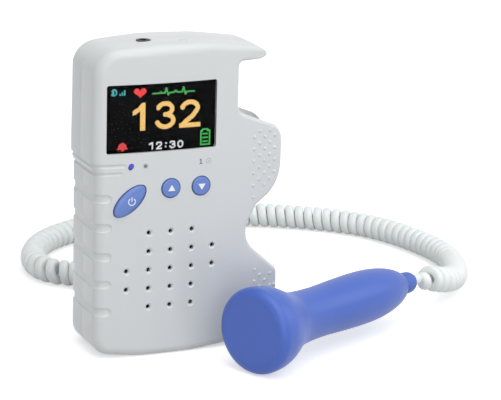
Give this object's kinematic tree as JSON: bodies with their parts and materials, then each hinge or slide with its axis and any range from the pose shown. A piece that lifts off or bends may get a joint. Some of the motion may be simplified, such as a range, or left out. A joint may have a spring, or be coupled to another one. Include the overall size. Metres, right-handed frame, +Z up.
{
  "type": "fetal doppler monitor",
  "caption": "Hand-held fetal doppler monitor that stands on its base, with a display, press keys, a speaker grille and a blue ultrasound probe on a coiled cord.",
  "frame": {"origin": "centre of the flat of the unit's base, on the seam between its front and rear shells, where it stands on the table", "axes": "+X to the right as the display is read, +Y from the display towards the back, +Z up"},
  "size_m": [0.2328, 0.2657, 0.1478],
  "materials": {
    "case_shell": "pale grey-white moulded plastic, soft satin sheen",
    "steel": "plain",
    "window_glass": "clear polished window over a dark display",
    "black_plastic": "matt moulded",
    "display_face": "black display face with lit figures",
    "white_diffuser": "smooth translucent white",
    "ribbon_film": "thin amber film",
    "circuit_board": "green lacquered board",
    "violet_lens": "deep blue-violet, polished",
    "key_blue": "soft blue moulded key with a white mark",
    "speaker_paper": "pressed paper",
    "foam": "soft foam ring",
    "black_cloth": "fine weave",
    "cell_wrap": "printed film over steel",
    "cord_white": "white, softly glossy",
    "probe_blue": "blue, fine matt",
    "boot_blue": "blue, matt",
    "ceramic": "fired ceramic",
    "backing_resin": "cast resin"
  },
  "bodies": {
    "unit": {"front_case": "case_shell", "rear_case": "case_shell", "door_hinge_pin": "steel", "case_screws": "steel", "board_screws": "steel", "battery_contacts": "steel", "battery_springs": "steel", "speaker_magnet": "steel", "display_window": "window_glass", "display_frame": "black_plastic", "board_chips": "black_plastic", "power_switch": "black_plastic", "up_switch": "black_plastic", "down_switch": "black_plastic", "speaker_basket": "black_plastic", "earphone_jack": "black_plastic", "display_panel": "display_face", "display_backlight": "white_diffuser", "status_led": "white_diffuser", "display_ribbon": "ribbon_film", "main_board": "circuit_board", "status_lens": "violet_lens", "speaker_cone": "speaker_paper", "speaker_gasket": "foam", "grille_cloth": "black_cloth", "battery_cells": "cell_wrap", "cord_boot": "cord_white", "curly_cord": "cord_white"},
    "door": {"battery_door": "case_shell"},
    "power_key": {"power_button": "key_blue", "power_plunger": "black_plastic"},
    "up_key": {"up_button": "key_blue", "up_plunger": "black_plastic"},
    "down_key": {"down_button": "key_blue", "down_plunger": "black_plastic"},
    "probe": {"probe_boot": "boot_blue", "probe_housing": "probe_blue", "probe_face": "probe_blue", "transmit_crystal": "ceramic", "receive_crystal": "ceramic", "crystal_backing": "backing_resin", "probe_board": "circuit_board", "cord_clamp": "black_plastic"}
  },
  "joints": [
    {"name": "power_press", "type": "slide", "parent": "unit", "child": "power_key", "axis": [0, 1, 0], "range_m": [0, 0.0008], "stiffness_N_per_m": 250},
    {"name": "up_press", "type": "slide", "parent": "unit", "child": "up_key", "axis": [0, 1, 0], "range_m": [0, 0.0008], "stiffness_N_per_m": 250},
    {"name": "down_press", "type": "slide", "parent": "unit", "child": "down_key", "axis": [0, 1, 0], "range_m": [0, 0.0008], "stiffness_N_per_m": 250},
    {"name": "battery_door_hinge", "type": "hinge", "parent": "unit", "child": "door", "pos_m": [0, 0.0183, 0.034], "axis": [-1, 0, 0], "range_deg": [0, 90]},
    {"name": "probe_lift", "type": "slide", "parent": "unit", "child": "probe", "axis": [0, 0, 1], "range_m": [0, 0.1], "deforming": ["curly_cord"]}
  ]
}
